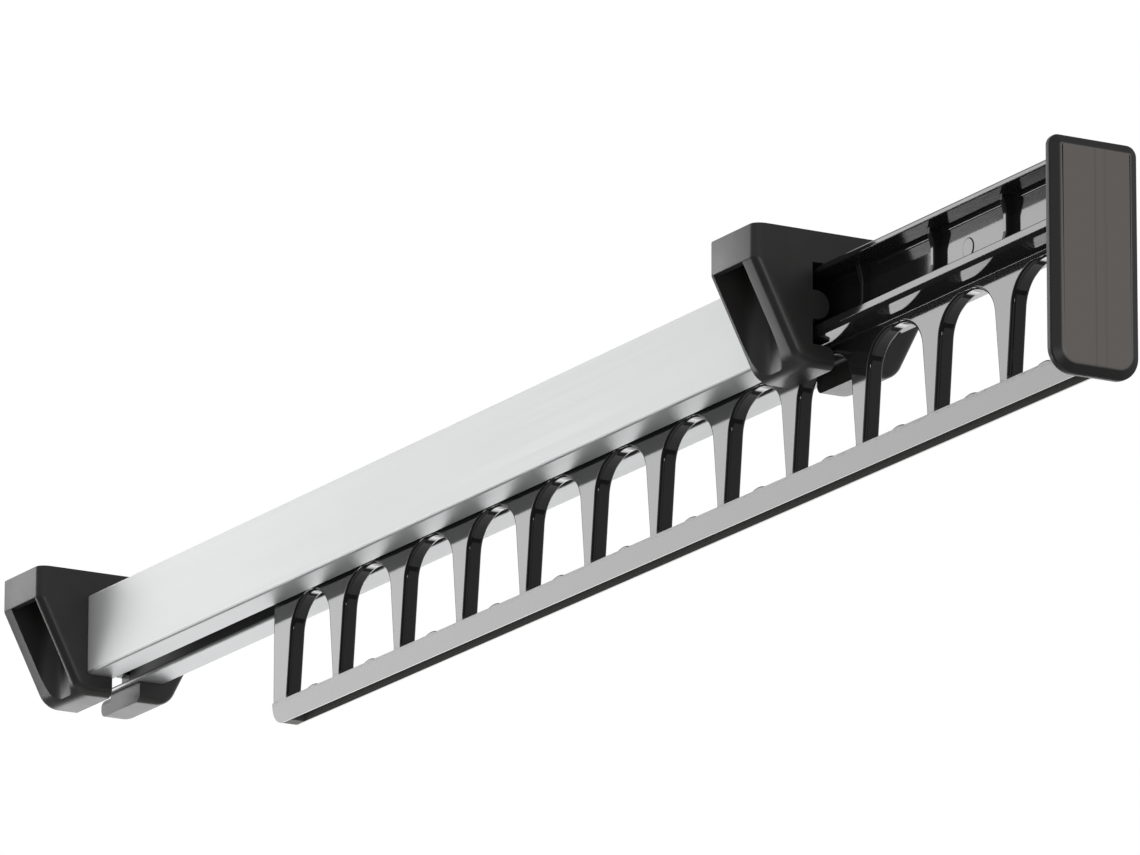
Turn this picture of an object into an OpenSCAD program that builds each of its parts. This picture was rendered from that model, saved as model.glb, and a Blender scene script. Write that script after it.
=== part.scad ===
// Pull-out clothes rail for a wardrobe shelf.
// Millimetres. X runs across the rail, Y along it with the closed end at +Y, Z up.
// The origin is the centre of the four screw holes, on the face that meets the shelf.
// A black moulded slide with hanger arches runs in an aluminium channel,
// which is trapped between a rear and a front bracket. It is drawn part pulled out.

/* [Arch rail] */
// Number of hanger arches
arch_count = 12; // [6:1:14]
// Distance from one arch to the next
arch_pitch = 32; // [31:0.5:38]
// Width of an arch at the bar
arch_w = 27.6; // [24:0.2:28]
// Width of the rearmost arch at the bar
end_arch_w = 23.5; // [21:0.5:28]
// Height of an arch above the bar
arch_h = 25; // [20:0.5:32]
// How much narrower an arch is at its shoulders, on each side
arch_taper = 1.9; // [0.5:0.1:2.2]
// Height of the crown above the shoulders
arch_rise = 9; // [8.2:0.2:10]
// Radius of the arch shoulders
shoulder_r = 8; // [6:0.2:8]
// Plastic over the crown of an arch
crown_t = 1.8; // [1.2:0.1:3]
// Length of the post behind the rearmost arch
rear_post = 8.1; // [6:0.1:12]
// Length of the post between the last arch and the plate
front_post = 3.5; // [3.5:0.1:8]
// Thickness of the arch blade
blade_t = 4.2; // [3:0.1:4.6]
// Height of the hanger bar
bar_h = 6; // [5:0.5:9]
// Thickness of the hanger bar
bar_t = 5; // [4.8:0.1:6]
// Radius of the bar's lower rear corner
bar_end_r = 5.5; // [3:0.5:5.5]
// How far the bar stops short of the blade's rear edge
bar_short = 0.8; // [0:0.1:2]
// Height of the bump that centres a hanger
bump_h = 1.2; // [0.8:0.1:2]
// Length of the bump that centres a hanger
bump_len = 9; // [7:0.5:11]
// Width of the bump
bump_w = 2.6; // [2:0.2:4.4]

/* [Slide beam] */
// Width of the two flanges of the beam
flange_w = 17.2; // [15:0.2:18]
// Thickness of the top flange
top_flange_t = 2.2; // [1.5:0.1:2.5]
// Thickness of the middle flange at its edge
mid_edge_t = 1.3; // [1:0.1:1.8]
// Thickness of the middle flange at the blade
mid_root_t = 3.6; // [3:0.1:4]
// Width of the flat under the middle flange that runs on the channel lips
runner_w = 9.2; // [8.4:0.1:11]
// Thickness of the upright web
web_t = 2.6; // [2:0.1:3]
// Depth of a stiffening rib
rib_depth = 2.9; // [1.5:0.1:3.1]
// Thickness of a stiffening rib
rib_t = 1.6; // [1.4:0.1:2.6]
// How far a rib stands in front of the middle of its post
rib_shift = 2.9; // [0:0.1:4]
// Post, counted from the rear, whose rib is the outward stop
stop_post = 3; // [2:1:5]
// Diameter of the round boss near the front of the web
boss_d = 4.4; // [3:0.2:6]
// Height of the round boss
boss_h = 0.8; // [0.5:0.1:1.6]
// Thickness of the foot that the front plate is screwed to
foot_t = 2.4; // [2:0.1:3]

/* [Channel] */
// Outside width of the channel
channel_w = 22.4; // [21.6:0.2:23]
// Outside height of the channel
channel_h = 21.2; // [20:0.2:24]
// Wall thickness of the channel
channel_wall = 1.2; // [1:0.1:1.6]
// Width of the slot in the channel's underside
channel_slot = 6.2; // [5.2:0.2:7]
// Outside corner radius of the channel
channel_r = 0.7; // [0.3:0.1:1]

/* [Brackets] */
// Width of a bracket at the shelf
bracket_w = 51.5; // [49:0.5:58]
// Length of a bracket along the rail
bracket_d = 21.8; // [21.3:0.5:26.3]
// Plastic between the shelf and the channel
saddle_t = 6.4; // [5:0.1:8]
// Height of a bracket's upright outer side
side_h = 8.4; // [7:0.2:10]
// Slope of the ears, from upright
ear_angle = 27; // [24:1:29]
// Thickness of the lips under the channel
lip_t = 5.3; // [3.5:0.1:6]
// Radius at the foot of the ears
ear_foot_r = 6; // [4:0.5:7]
// Width of the rounding round a bracket's faces
round_w = 3.2; // [2:0.1:3.4]
// Depth of that rounding along the sides and slopes
round_d = 1; // [0.6:0.1:1.4]
// Radius of the rounding along the foot
foot_round = 2.2; // [1.6:0.1:3]
// Plastic under the screw head
ear_floor_t = 4.9; // [3.5:0.1:6]
// Length of a screw pocket along the rail
pocket_len = 13.5; // [12:0.1:14]
// Wall of a screw pocket towards the end of the guide
pocket_end_wall = 5.75; // [4:0.05:6]
// Corner radius of a screw pocket
pocket_r = 5; // [3:0.2:5.6]
// Wall between a screw pocket and the channel
pocket_side_wall = 1.5; // [1.4:0.1:3]
// Outer wall beside the screw head
ear_wall = 1.8; // [1.2:0.1:2.6]
// Diameter of a shelf screw hole
hole_d = 4.6; // [3.5:0.1:5.5]
// Distance between the screw holes across the rail
hole_gap_x = 39; // [37:0.5:41]
// Wall that holds the end of the channel
end_wall = 4.2; // [3:0.1:6]
// Width of the slot between a bracket's lips
bracket_slot = 8.1; // [6.4:0.1:9]
// Radius of the lips' upper corners at the slot
lip_corner_r = 2.6; // [1:0.1:3]
// Radius of the guide lugs' round ends
lug_r = 3.5; // [3:0.1:4]
// Depth of the guide lugs
lug_depth = 4.5; // [4:0.1:4.8]
// Height of the lugs over the middle flange
lug_lift = 1.1; // [0.5:0.1:2]

/* [Front plate] */
// Width of the plate
plate_w = 23.4; // [22:0.2:30]
// Thickness of the plate
plate_t = 4; // [3.4:0.1:6]
// How far the plate stands above the slide
plate_over = 3.6; // [2:0.1:6]
// How far the plate hangs below the bar
plate_under = 1.3; // [0.5:0.1:5]
// Radius of the plate's lower corners
plate_low_r = 6; // [4:0.5:8]
// Radius of the plate's upper corners
plate_top_r = 2.6; // [2:0.2:5]
// Width of the bevel round the plate
plate_bevel_w = 2.3; // [1:0.1:2.6]
// Depth of the bevel round the plate
plate_bevel_d = 1.5; // [0.8:0.1:2]

/* [Rollers and fixings] */
// Width of a roller
roller_w = 4.6; // [3.5:0.1:5]
// Diameter of the roller axle
axle_d = 3; // [2.5:0.1:4]
// Diameter of the axle's head
axle_head_d = 5.6; // [5:0.1:7]
// Thickness of the axle's head
axle_head_t = 0.9; // [0.6:0.1:1]
// Thickness of the clip on the axle
clip_t = 0.6; // [0.4:0.1:0.8]
// Thread diameter of a plate screw
screw_d = 2.9; // [2.2:0.1:3]
// Head diameter of a plate screw
screw_head_d = 5; // [4.6:0.1:5.4]
// Head height of a plate screw
screw_head_t = 1.8; // [1.2:0.1:2.4]
// Distance between the plate screws
screw_gap = 10; // [9.6:0.1:10.4]

/* [Fits and pose] */
// How far the slide is pulled out as drawn
pulled_out = 104.5; // [20:0.5:160]
// Gap over and under the sliding beam
run_gap = 0.3; // [0.2:0.05:0.5]
// Gap over and under a roller
roller_gap = 0.25; // [0.15:0.05:0.4]
// Gap beside a moving piece
side_gap = 0.4; // [0.3:0.05:0.6]
// Radial gap between a roller and its axle
axle_gap = 0.05; // [0.02:0.01:0.09]
// Gap between pieces that are fitted together
fit_gap = 0.08; // [0.05:0.01:0.15]
// Gap between the front plate and its bracket when closed
closed_gap = 0.5; // [0.3:0.1:3]
// How far the slide's rear end stays inside the guide when closed
end_gap = 2.4; // [0.5:0.1:3.5]
// Gap between the rollers and the rear lugs when closed
roller_stop_gap = 0.5; // [0.3:0.1:3]

/* [Hidden] */

black = [0.13, 0.13, 0.13];
plate_grey = [0.3, 0.29, 0.28];
silver = [0.85, 0.86, 0.87];
steel = [0.62, 0.63, 0.65];
roller_grey = [0.2, 0.2, 0.2];

round_fn = 64;
arch_fn = 96;
hull_fn = 8;
past = 1;
around = 80;

// Levels, measured down from the shelf
channel_top = -saddle_t;
channel_bottom = channel_top - channel_h;
ceiling_z = channel_top - channel_wall;
lip_top = channel_bottom + channel_wall;
bracket_bottom = channel_bottom - lip_t;
beam_top = ceiling_z - run_gap;
groove_top = beam_top - top_flange_t;
blade_top = lip_top + run_gap;
groove_bottom = blade_top + mid_root_t;
arch_top = blade_top - crown_t;
bar_top = arch_top - arch_h;
bar_bottom = bar_top - bar_h;
lug_z = groove_bottom + lug_lift + lug_r;

// Lengths along the rail
post_w = arch_pitch - arch_w;
slide_len = rear_post + end_arch_w + (arch_count - 1) * arch_pitch + front_post;
guide_len = slide_len + end_gap - closed_gap;
guide_end = guide_len / 2;
closed_rear = guide_end - end_gap;
slide_rear = closed_rear - pulled_out;
plate_back = slide_rear - slide_len;
pocket_y = guide_end - pocket_end_wall - pocket_len / 2;

// Roller and axle
roller_r = (ceiling_z - lip_top) / 2 - roller_gap;
axle_z = (ceiling_z + lip_top) / 2;
tail_end = end_wall - end_gap + roller_stop_gap;
tail_gap = 1.4;
bar_end_flat = 0.4;
boss_back = 0.8;
roller_s = roller_r + tail_end;
beam_start = roller_s + roller_r + tail_gap;
hub_r = 4;
hub_half = channel_slot / 2;
roller_in = hub_half + side_gap;
roller_out = roller_in + roller_w;
keeper_in = roller_out + side_gap;
tread_edge = 0.6;
rim_t = 2.2;
web_recess = 1;
hub_wall = 2.2;

// Brackets
socket_half = channel_w / 2 + fit_gap;
inner_half = channel_w / 2 - channel_wall;
pocket_in = socket_half + pocket_side_wall;
ear_corner_r = 1.5;
// Share of the rounding's width and depth at each step from the face inwards
round_steps = [[1, 0], [0.45, 0.3], [0.1, 1]];

// Front plate and its screws
foot_inset = 1;
// The foot ends under the front bracket, which the plate meets when the slide is pushed in
foot_bottom = bar_bottom + foot_inset;
foot_top = bracket_bottom - closed_gap;
screw_z = (foot_bottom + foot_top) / 2;
screw_bite = 2.4;
plate_top = beam_top + plate_over;
plate_bottom = bar_bottom - plate_under;

// Distance from the slide's rear end to the rear edge of arch i, counted from the rear
function arch_rear(i) = i == 0 ? rear_post
    : rear_post + end_arch_w + post_w + (i - 1) * arch_pitch;
function arch_width(i) = i == 0 ? end_arch_w : arch_w;
function arch_middle(i) = slide_rear - arch_rear(i) - arch_width(i) / 2;
// Middle of the post in front of arch i
function post_middle(i) = slide_rear - rear_post - end_arch_w - post_w / 2 - i * arch_pitch;

// A corner b between a and c, rounded with radius r
function unit(v) = v / norm(v);
function short_turn(t) = t > 180 ? t - 360 : t < -180 ? t + 360 : t;
function round_corner(a, b, c, r) =
    let (u = unit(a - b), v = unit(c - b), half = acos(u * v) / 2,
         m = b + unit(u + v) * r / sin(half),
         p = b + u * r / tan(half) - m, q = b + v * r / tan(half) - m,
         start = atan2(p.y, p.x), turn = short_turn(atan2(q.y, q.x) - start))
    [for (i = [0:hull_fn]) m + r * [cos(start + turn * i / hull_fn), sin(start + turn * i / hull_fn)]];
// An outline whose corners have the radii in the second list
function rounded(points, radii) =
    let (n = len(points))
    [for (i = [0:n - 1])
        each radii[i] <= 0 ? [points[i]]
            : round_corner(points[(i + n - 1) % n], points[i], points[(i + 1) % n], radii[i])];

// An outline in X and Z carried from y0 to y1
module along_y(y0, y1) {
    translate([0, y1, 0]) rotate([90, 0, 0]) linear_extrude(y1 - y0) children();
}

// An outline in Y and Z carried from x0 to x1
module along_x(x0, x1) {
    translate([x0, 0, 0]) rotate([90, 0, 90]) linear_extrude(x1 - x0) children();
}

module both_sides() {
    children();
    mirror([1, 0, 0]) children();
}

// Aluminium channel

module channel_section() {
    w = channel_w / 2;
    difference() {
        translate([0, channel_bottom])
            polygon(rounded([[-w, 0], [w, 0], [w, channel_h], [-w, channel_h]],
                            [channel_r, channel_r, channel_r, channel_r]));
        translate([-inner_half, lip_top]) square([2 * inner_half, ceiling_z - lip_top]);
        translate([-channel_slot / 2, channel_bottom - past])
            square([channel_slot, channel_wall + 2 * past]);
    }
}

module channel_profile() {
    color(silver)
        along_y(-guide_end + end_wall + fit_gap, guide_end - end_wall - fit_gap)
            channel_section();
}

// Brackets

// Shield outline: flat top, upright sides, sloping ears and a round foot
function shield(inset, rise) =
    let (w = bracket_w / 2 - inset, low = bracket_bottom + rise,
         foot = w - (-side_h - low) * tan(ear_angle))
    rounded([[-w, 0], [w, 0], [w, -side_h], [foot, low], [-foot, low], [-w, -side_h]],
            [0, 0, ear_corner_r, ear_foot_r, ear_foot_r, ear_corner_r]);

// Rounded block from y = 0 to y = bracket_d, as slices that shrink towards both faces
module bracket_block() {
    slices = concat([for (t = round_steps) [t[0] * round_w, t[0] * foot_round, t[1] * round_d]],
                    [[0, 0, foot_round]]);
    hull()
        for (t = slices)
            along_y(t[2], bracket_d - t[2]) polygon(shield(t[0], t[1]));
}

// Upright screw pocket with a rounded inner end, open on the sloping side
module screw_pocket() {
    reach = bracket_w / 2 - ear_wall;
    y0 = pocket_end_wall;
    y1 = y0 + pocket_len;
    translate([0, 0, -around]) {
        linear_extrude(around - ear_floor_t)
            polygon(rounded([[pocket_in, y0], [reach, y0], [reach, y1], [pocket_in, y1]],
                            [pocket_r, 0, 0, pocket_r]));
        translate([reach - past, y0, 0]) cube([around, pocket_len, around - side_h]);
    }
    translate([hole_gap_x / 2, (y0 + y1) / 2, -ear_floor_t - past])
        cylinder(d = hole_d, h = ear_floor_t + 2 * past, $fn = round_fn);
}

// Mouth of a bracket: the channel's bore, with a round lug on each side and a slot below
module mouth_section() {
    difference() {
        translate([-inner_half, channel_bottom]) square([2 * inner_half, ceiling_z - channel_bottom]);
        both_sides() {
            translate([inner_half - lug_depth + lug_r, lug_z]) circle(r = lug_r, $fn = round_fn);
            translate([inner_half - lug_depth + lug_r, lug_z - lug_r]) square([around, 2 * lug_r]);
        }
    }
    both_sides()
        difference() {
            translate([0, channel_bottom - lip_corner_r])
                square([bracket_slot / 2 + lip_corner_r, lip_corner_r + past / 2]);
            translate([bracket_slot / 2 + lip_corner_r, channel_bottom - lip_corner_r])
                circle(r = lip_corner_r, $fn = round_fn);
        }
}

// A bracket lies from y = 0, the end face of the guide, to y = bracket_d
module bracket() {
    color(black)
        difference() {
            bracket_block();
            along_y(end_wall, bracket_d + past)
                translate([-socket_half, channel_bottom - fit_gap])
                    square([2 * socket_half, channel_h + 2 * fit_gap]);
            both_sides() screw_pocket();
            along_y(-past, end_wall + past) mouth_section();
            along_y(-past, bracket_d + past)
                translate([-bracket_slot / 2, bracket_bottom - past])
                    square([bracket_slot, lip_t + 2 * past]);
        }
}

module rear_bracket() {
    translate([0, guide_end, 0]) rotate([0, 0, 180]) bracket();
}

module front_bracket() {
    translate([0, -guide_end, 0]) bracket();
}

// Moulded slide

// An arch, centred on 0, with its foot at 0: tapered sides, round shoulders and a flatter crown
module arch_shape(w) {
    foot = w / 2;
    top = foot - arch_taper;
    shoulder_z = arch_h - arch_rise;
    offset_x = top - shoulder_r;
    // Crown circle through the apex that meets both shoulder circles without a corner
    drop = arch_rise - shoulder_r;
    crown_r = (offset_x * offset_x + drop * drop) / (2 * drop) + shoulder_r;
    crown_z = arch_h - crown_r;
    reach = crown_r / norm([offset_x, shoulder_z - crown_z]);
    polygon([[-foot, 0], [foot, 0], [top, shoulder_z], [offset_x, shoulder_z],
             [-offset_x, shoulder_z], [-top, shoulder_z]]);
    for (side = [-1, 1]) translate([side * offset_x, shoulder_z]) circle(r = shoulder_r, $fn = arch_fn);
    intersection() {
        translate([0, crown_z]) circle(r = crown_r, $fn = 2 * arch_fn);
        translate([0, crown_z])
            polygon([[0, 0], [reach * offset_x * 1.2, reach * (shoulder_z - crown_z) * 1.2],
                     [0, crown_r * 2],
                     [-reach * offset_x * 1.2, reach * (shoulder_z - crown_z) * 1.2]]);
    }
}

module blade_outline() {
    difference() {
        translate([plate_back, bar_bottom]) square([slide_len, blade_top - bar_bottom]);
        for (i = [0:arch_count - 1])
            translate([arch_middle(i), bar_top]) arch_shape(arch_width(i));
    }
}

module bar_outline() {
    bar_rear = slide_rear - bar_short;
    polygon(rounded([[plate_back, bar_bottom], [bar_rear, bar_bottom],
                     [bar_rear, bar_top], [plate_back, bar_top]],
                    [0, min(bar_end_r, bar_h - bar_end_flat), 0, 0]));
}

module bump(i) {
    bump_r = (bump_len * bump_len / 4 + bump_h * bump_h) / (2 * bump_h);
    intersection() {
        translate([arch_middle(i), bar_top + bump_h - bump_r]) circle(r = bump_r, $fn = arch_fn);
        translate([arch_middle(i) - bump_len / 2 - past, bar_top - past]) square([bump_len + 2 * past, past + bump_h]);
    }
}

module beam_section() {
    w = flange_w / 2;
    translate([-w, groove_top]) square([flange_w, top_flange_t]);
    translate([-web_t / 2, blade_top]) square([web_t, groove_top - blade_top + past]);
    polygon([[-w, groove_bottom], [-w, groove_bottom - mid_edge_t], [-runner_w / 2, blade_top],
             [runner_w / 2, blade_top], [w, groove_bottom - mid_edge_t], [w, groove_bottom]]);
}

module rib(y, depth) {
    translate([-web_t / 2 - depth, y - rib_shift - rib_t / 2, groove_bottom - past / 2])
        cube([web_t + 2 * depth, rib_t, groove_top - groove_bottom + past]);
}

// Upright tail that carries the roller axle
module tail() {
    corner_r = 4;
    along_x(-blade_t / 2, blade_t / 2)
        polygon(rounded([[slide_rear - beam_start - past, blade_top - past], [slide_rear, blade_top - past],
                         [slide_rear, beam_top], [slide_rear - beam_start - past, beam_top]],
                        [0, 0, corner_r, 0]));
    translate([-hub_half, slide_rear - roller_s, axle_z]) rotate([0, 90, 0])
        cylinder(r = hub_r, h = 2 * hub_half, $fn = round_fn);
}

module plate_foot() {
    w = flange_w / 2 - foot_inset;
    along_y(plate_back, plate_back + foot_t)
        polygon(rounded([[-w, foot_bottom], [w, foot_bottom], [w, foot_top], [-w, foot_top]],
                        [3, 3, 1, 1]));
}

module arch_slide() {
    boss_y = (post_middle(arch_count - 3) + post_middle(arch_count - 2)) / 2 + boss_back;
    color(black)
        difference() {
            union() {
                along_x(-blade_t / 2, blade_t / 2)
                    difference() {
                        blade_outline();
                        translate([slide_rear - bar_end_r, bar_bottom - past])
                            square([bar_end_r + past, bar_h + past]);
                    }
                along_x(-bar_t / 2, bar_t / 2) bar_outline();
                along_x(-bump_w / 2, bump_w / 2)
                    for (i = [0:arch_count - 1]) bump(i);
                along_y(plate_back, slide_rear - beam_start) beam_section();
                for (i = [0:arch_count - 2])
                    rib(post_middle(i), i == stop_post - 1 ? flange_w / 2 - web_t / 2 : rib_depth);
                translate([-web_t / 2 - boss_h, boss_y, axle_z]) rotate([0, 90, 0])
                    cylinder(d = boss_d, h = web_t + 2 * boss_h, $fn = round_fn);
                tail();
                plate_foot();
            }
            translate([-around / 2, slide_rear - roller_s, axle_z]) rotate([0, 90, 0])
                cylinder(d = axle_d + 2 * fit_gap, h = around, $fn = round_fn);
            for (side = [-1, 1])
                translate([side * screw_gap / 2, plate_back - past, screw_z]) rotate([-90, 0, 0])
                    cylinder(d = screw_d + 2 * fit_gap, h = foot_t + 2 * past, $fn = round_fn);
        }
}

// Front plate

function plate_outline(inset) =
    let (w = plate_w / 2 - inset, low = plate_bottom + inset, high = plate_top - inset)
    rounded([[-w, low], [w, low], [w, high], [-w, high]],
            [plate_low_r - inset / 2, plate_low_r - inset / 2, plate_top_r - inset / 2, plate_top_r - inset / 2]);

module front_plate() {
    color(plate_grey)
        difference() {
            hull() {
                along_y(plate_back - plate_t + plate_bevel_d, plate_back) polygon(plate_outline(0));
                along_y(plate_back - plate_t, plate_back) polygon(plate_outline(plate_bevel_w));
            }
            for (side = [-1, 1])
                translate([side * screw_gap / 2, plate_back - screw_bite - fit_gap, screw_z]) rotate([-90, 0, 0])
                    cylinder(d = screw_d + 2 * fit_gap, h = screw_bite + fit_gap + past, $fn = round_fn);
        }
}

module plate_screws() {
    color(steel)
        for (side = [-1, 1])
            translate([side * screw_gap / 2, plate_back, screw_z]) rotate([-90, 0, 0]) {
                translate([0, 0, -screw_bite]) cylinder(d = screw_d, h = screw_bite + foot_t + past, $fn = round_fn);
                translate([0, 0, foot_t]) cylinder(d = screw_head_d, h = screw_head_t, $fn = round_fn);
            }
}

// Rollers on their axle

module roller(start) {
    bore_r = axle_d / 2 + axle_gap;
    boss_r = bore_r + hub_wall;
    color(roller_grey)
        translate([start, slide_rear - roller_s, axle_z]) rotate([0, 90, 0])
            rotate_extrude($fn = arch_fn)
                polygon([[bore_r, 0], [roller_r - tread_edge, 0], [roller_r, tread_edge],
                         [roller_r, roller_w - tread_edge], [roller_r - tread_edge, roller_w],
                         [roller_r - rim_t, roller_w], [roller_r - rim_t - web_recess / 2, roller_w - web_recess],
                         [boss_r + web_recess / 2, roller_w - web_recess], [boss_r, roller_w], [bore_r, roller_w]]);
}

module left_roller() {
    mirror([1, 0, 0]) roller(roller_in);
}

module right_roller() {
    roller(roller_in);
}

module roller_axle() {
    color(steel)
        translate([-keeper_in, slide_rear - roller_s, axle_z]) rotate([0, 90, 0]) {
            cylinder(d = axle_d, h = 2 * keeper_in + clip_t, $fn = round_fn);
            translate([0, 0, -axle_head_t]) cylinder(d = axle_head_d, h = axle_head_t, $fn = round_fn);
        }
}

module axle_clip() {
    color(steel)
        translate([keeper_in, slide_rear - roller_s, axle_z]) rotate([0, 90, 0])
            difference() {
                cylinder(d = axle_head_d, h = clip_t, $fn = round_fn);
                translate([0, 0, -past]) cylinder(d = axle_d + 2 * fit_gap, h = clip_t + 2 * past, $fn = round_fn);
            }
}

channel_profile();
rear_bracket();
front_bracket();
arch_slide();
front_plate();
plate_screws();
roller_axle();
axle_clip();
left_roller();
right_roller();
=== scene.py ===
"""Looks of a pull-out clothes rail: finishes, softened edges, camera and studio.

Each class below dresses one sub-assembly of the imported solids, and reads its
place from them. A skin is a surface of two parameters: outlines carried along
an axis, with a rounded rim at both ends. Meshes are in metres. The sizes in a
class are in millimetres where it says so.
"""

from __future__ import annotations

import logging
import math
from collections.abc import Mapping, Sequence
from dataclasses import dataclass, field
from enum import Enum
from typing import Any

import bpy
import numpy as np
from mathutils import Matrix, Vector
from mathutils.geometry import tessellate_polygon

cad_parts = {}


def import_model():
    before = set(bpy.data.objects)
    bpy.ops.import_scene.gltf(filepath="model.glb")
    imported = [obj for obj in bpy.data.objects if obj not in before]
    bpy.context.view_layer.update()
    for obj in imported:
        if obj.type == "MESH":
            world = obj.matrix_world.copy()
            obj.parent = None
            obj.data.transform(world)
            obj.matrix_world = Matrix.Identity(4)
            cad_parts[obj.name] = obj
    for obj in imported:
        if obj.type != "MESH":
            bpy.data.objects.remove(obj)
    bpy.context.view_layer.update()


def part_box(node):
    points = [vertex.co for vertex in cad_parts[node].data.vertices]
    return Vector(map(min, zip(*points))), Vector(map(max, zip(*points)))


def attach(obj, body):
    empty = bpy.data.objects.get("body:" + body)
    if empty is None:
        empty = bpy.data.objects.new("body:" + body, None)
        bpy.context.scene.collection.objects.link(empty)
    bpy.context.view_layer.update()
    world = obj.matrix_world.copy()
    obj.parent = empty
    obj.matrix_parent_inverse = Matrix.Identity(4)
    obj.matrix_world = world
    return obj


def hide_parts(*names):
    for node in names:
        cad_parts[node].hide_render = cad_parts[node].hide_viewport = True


LOG = logging.getLogger("clothes_rail")
MM = 0.001
# Level of the top of the bar that hangers rest on, in millimetres
BAR_TOP = -52.9
# Edges that turn by more than this are rounded on cut pieces, in degrees
SHARP = 40.0
# Points in a circle
ROUND = 72

Pair = tuple[float, float]
Triple = tuple[float, float, float]
Quad = tuple[float, float, float, float]
Colour = tuple[float, float, float]


# Outlines and surfaces


class Plane(Enum):
    """The plane of an outline, named by its two axes. It is carried along the third."""

    YZ = "carried along +X"
    XZ = "carried along -Y"
    XY = "carried along +Z"

    def place(self, flat: np.ndarray, along: np.ndarray) -> np.ndarray:
        """Turns outline coordinates and a height into X, Y and Z.

        Args:
            flat: Outline coordinates, (..., 2).
            along: Height over the plane, (...).

        Returns:
            Points or directions, (..., 3).
        """
        u, v = flat[..., 0], flat[..., 1]
        if self is Plane.YZ:
            return np.stack([along, u, v], axis=-1)
        if self is Plane.XZ:
            return np.stack([u, -along, v], axis=-1)
        return np.stack([u, v, along], axis=-1)


@dataclass(frozen=True)
class Outline:
    """A closed loop with the material on its left, and its outward normals."""

    points: np.ndarray
    normals: np.ndarray

    @classmethod
    def through(cls, points: np.ndarray) -> Outline:
        """A loop through dense points.

        The normal at a point is square to the chord between its two neighbours.

        Args:
            points: Loop points, (n, 2).

        Returns:
            The loop with its normals.
        """
        chord = np.roll(points, -1, axis=0) - np.roll(points, 1, axis=0)
        chord /= np.linalg.norm(chord, axis=1, keepdims=True)
        return cls(points, np.stack([chord[:, 1], -chord[:, 0]], axis=1))

    @classmethod
    def rounded(
        cls, corners: Sequence[Sequence[float]], radii: float | Sequence[float], steps: int = 6
    ) -> Outline:
        """A polygon whose every corner is an arc.

        An arc starts radius * tan(turn / 2) before its corner, and its normal
        turns evenly from that of the edge before to that of the edge after.

        Args:
            corners: Corners in order, material on the left.
            radii: One radius, or one for each corner, above zero.
            steps: Chords in each arc.

        Returns:
            The loop with exact normals.
        """
        p = np.asarray(corners, float)
        r = np.broadcast_to(np.asarray(radii, float), len(p))[:, None]
        before = p - np.roll(p, 1, axis=0)
        after = np.roll(p, -1, axis=0) - p
        before /= np.linalg.norm(before, axis=1, keepdims=True)
        after /= np.linalg.norm(after, axis=1, keepdims=True)
        turn = np.arctan2(
            before[:, 0] * after[:, 1] - before[:, 1] * after[:, 0],
            (before * after).sum(axis=1),
        )[:, None]
        side = np.where(turn < 0, -1.0, 1.0)
        first = np.stack([before[:, 1], -before[:, 0]], axis=1)
        centre = p - before * r * np.tan(np.abs(turn) / 2) - side * r * first
        angle = turn * np.linspace(0, 1, steps + 1)[None, :]
        cos, sin = np.cos(angle)[..., None], np.sin(angle)[..., None]
        across = np.stack([-first[:, 1], first[:, 0]], axis=1)
        normals = first[:, None, :] * cos + across[:, None, :] * sin
        points = centre[:, None, :] + (side * r)[:, None, :] * normals
        return cls(points.reshape(-1, 2), normals.reshape(-1, 2))

    @classmethod
    def circle(cls, radius: float, centre: Pair) -> Outline:
        """A circle: its normal at an angle is (cos, sin) of that angle.

        Args:
            radius: Its radius.
            centre: Its middle.

        Returns:
            The loop, anticlockwise.
        """
        a = np.linspace(0, 2 * math.pi, ROUND, endpoint=False)
        normals = np.stack([np.cos(a), np.sin(a)], axis=1)
        return cls(radius * normals + np.asarray(centre), normals)

    def reversed(self) -> Outline:
        """The same loop as a hole, with the material outside it."""
        return Outline(self.points[::-1], -self.normals[::-1])

    def moved(self, u: float, v: float) -> Outline:
        """The same loop somewhere else in its plane."""
        return Outline(self.points + np.array([u, v]), self.normals)

    def scaled(self, factor: float) -> Outline:
        """The same loop at another size, such as millimetres turned to metres."""
        return Outline(self.points * factor, self.normals)


@dataclass(frozen=True)
class Rim:
    """How a wall runs into a face: how far in, how high, and how far its normal leans.

    It is made from sizes in millimetres and holds metres.
    """

    inset: np.ndarray
    height: np.ndarray
    lean: np.ndarray

    @classmethod
    def quarter(cls, radius: float, steps: int = 4) -> Rim:
        """A quarter circle: inset radius * (1 - cos t), height radius * sin t.

        Args:
            radius: Its radius.
            steps: Chords in it.

        Returns:
            The rim.
        """
        t = np.linspace(0, math.pi / 2, steps + 1)
        radius *= MM
        return cls(radius * (1 - np.cos(t)), radius * np.sin(t), t)

    @classmethod
    def bevelled(cls, width: float, depth: float, soft: float, steps: int = 4) -> Rim:
        """A sloping bevel whose two corners are arcs of radius soft.

        Args:
            width: How far the bevel runs in from the wall.
            depth: How far it stands over the wall's end.
            soft: Radius of the arcs at both corners.
            steps: Chords in each arc.

        Returns:
            The rim.
        """
        width, depth, soft = width * MM, depth * MM, soft * MM
        slope = math.atan2(width, depth)
        low, high = np.linspace(0, slope, steps + 1), np.linspace(slope, math.pi / 2, steps + 1)
        reach = soft * math.tan(slope / 2)
        rest = soft * math.tan((math.pi / 2 - slope) / 2)
        inset = np.concatenate([soft * (1 - np.cos(low)), width + rest - soft * np.cos(high)])
        height = np.concatenate([soft * np.sin(low), reach + depth - soft * (1 - np.sin(high))])
        return cls(inset, height, np.concatenate([low, high]))

    @property
    def rise(self) -> float:
        """Height of the whole rim."""
        return float(self.height[-1])


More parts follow.
